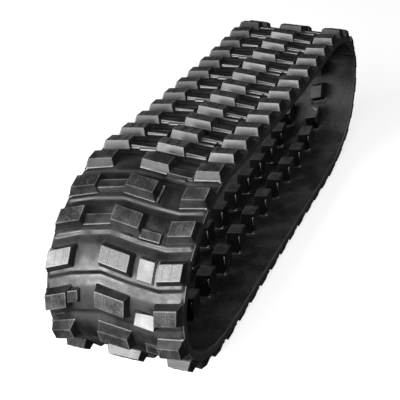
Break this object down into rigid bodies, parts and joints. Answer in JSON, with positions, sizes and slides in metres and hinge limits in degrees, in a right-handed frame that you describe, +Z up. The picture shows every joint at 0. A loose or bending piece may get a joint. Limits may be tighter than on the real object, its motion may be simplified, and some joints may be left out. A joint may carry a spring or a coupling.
{
  "type": "rubber track",
  "caption": "Endless rubber track loop for a small excavator: staggered tread blocks outside, rows of guide horns inside, steel cords and metal cores within.",
  "frame": {"origin": "bottom centre of the loop, on the plane its tread blocks stand on, midway between front and rear and between both edges", "axes": "+Z up, +X along the loop towards its front end, +Y across the band to its right edge"},
  "size_m": [0.9814, 0.2, 0.2991],
  "materials": {
    "tread_rubber": "matt moulded black rubber, slightly scuffed on the block faces",
    "inner_rubber": "smooth black rubber, dull and scuffed where the wheels run",
    "steel_cord": "brass-plated steel cord in a fabric ply",
    "core_steel": "forged steel, black"
  },
  "bodies": {
    "bottom": {"tread_bottom": "tread_rubber", "inner_rubber_bottom": "inner_rubber", "steel_cords_bottom": "steel_cord", "metal_core_28": "core_steel", "metal_core_29": "core_steel", "metal_core_30": "core_steel", "metal_core_01": "core_steel", "metal_core_02": "core_steel", "metal_core_03": "core_steel", "metal_core_04": "core_steel"},
    "front_lower": {"tread_front_lower": "tread_rubber", "inner_rubber_front_lower": "inner_rubber", "steel_cords_front_lower": "steel_cord", "metal_core_05": "core_steel", "metal_core_06": "core_steel", "metal_core_07": "core_steel"},
    "front_middle": {"tread_front_middle": "tread_rubber", "inner_rubber_front_middle": "inner_rubber", "steel_cords_front_middle": "steel_cord", "metal_core_08": "core_steel", "metal_core_09": "core_steel"},
    "front_upper": {"tread_front_upper": "tread_rubber", "inner_rubber_front_upper": "inner_rubber", "steel_cords_front_upper": "steel_cord", "metal_core_10": "core_steel", "metal_core_11": "core_steel", "metal_core_12": "core_steel"},
    "top": {"tread_top": "tread_rubber", "inner_rubber_top": "inner_rubber", "steel_cords_top": "steel_cord", "metal_core_13": "core_steel", "metal_core_14": "core_steel", "metal_core_15": "core_steel", "metal_core_16": "core_steel", "metal_core_17": "core_steel", "metal_core_18": "core_steel", "metal_core_19": "core_steel"},
    "rear_upper": {"tread_rear_upper": "tread_rubber", "inner_rubber_rear_upper": "inner_rubber", "steel_cords_rear_upper": "steel_cord", "metal_core_20": "core_steel", "metal_core_21": "core_steel", "metal_core_22": "core_steel"},
    "rear_middle": {"tread_rear_middle": "tread_rubber", "inner_rubber_rear_middle": "inner_rubber", "steel_cords_rear_middle": "steel_cord", "metal_core_23": "core_steel", "metal_core_24": "core_steel"},
    "rear_lower": {"tread_rear_lower": "tread_rubber", "inner_rubber_rear_lower": "inner_rubber", "steel_cords_rear_lower": "steel_cord", "metal_core_25": "core_steel", "metal_core_26": "core_steel", "metal_core_27": "core_steel"}
  },
  "joints": [
    {"name": "flex_front_low", "type": "hinge", "parent": "bottom", "child": "front_lower", "pos_m": [0.2433, 0, 0.018], "axis": [0, 1, 0], "range_deg": [-5, 8], "stiffness_Nm_per_rad": 60, "springref_deg": -6.46},
    {"name": "flex_front_bend_low", "type": "hinge", "parent": "front_lower", "child": "front_middle", "pos_m": [0.4446, 0, 0.0751], "axis": [0, 1, 0], "range_deg": [-8, 5], "stiffness_Nm_per_rad": 60, "springref_deg": 6.46},
    {"name": "flex_front_bend_high", "type": "hinge", "parent": "front_middle", "child": "front_upper", "pos_m": [0.4446, 0, 0.2229], "axis": [0, 1, 0], "range_deg": [-8, 5], "stiffness_Nm_per_rad": 60, "springref_deg": 6.46},
    {"name": "flex_front_high", "type": "hinge", "parent": "front_upper", "child": "top", "pos_m": [0.2433, 0, 0.28], "axis": [0, 1, 0], "range_deg": [-5, 8], "stiffness_Nm_per_rad": 60, "springref_deg": -6.46},
    {"name": "flex_rear_high", "type": "hinge", "parent": "top", "child": "rear_upper", "pos_m": [-0.2433, 0, 0.28], "axis": [0, 1, 0], "range_deg": [-5, 8], "stiffness_Nm_per_rad": 60, "springref_deg": -6.46},
    {"name": "flex_rear_low", "type": "hinge", "parent": "bottom", "child": "rear_lower", "pos_m": [-0.2433, 0, 0.018], "axis": [0, 1, 0], "range_deg": [-8, 5], "stiffness_Nm_per_rad": 60, "springref_deg": 6.46},
    {"name": "flex_rear_bend_low", "type": "hinge", "parent": "rear_lower", "child": "rear_middle", "pos_m": [-0.4446, 0, 0.0751], "axis": [0, 1, 0], "range_deg": [-5, 8], "stiffness_Nm_per_rad": 60, "springref_deg": -6.46}
  ],
  "couplings": [
    {"joint": "flex_front_bend_low", "follows": "flex_front_low", "ratio": -1},
    {"joint": "flex_front_bend_high", "follows": "flex_front_low", "ratio": -1},
    {"joint": "flex_front_high", "follows": "flex_front_low", "ratio": 1},
    {"joint": "flex_rear_high", "follows": "flex_front_low", "ratio": 1},
    {"joint": "flex_rear_low", "follows": "flex_front_low", "ratio": -1},
    {"joint": "flex_rear_bend_low", "follows": "flex_front_low", "ratio": 1}
  ]
}
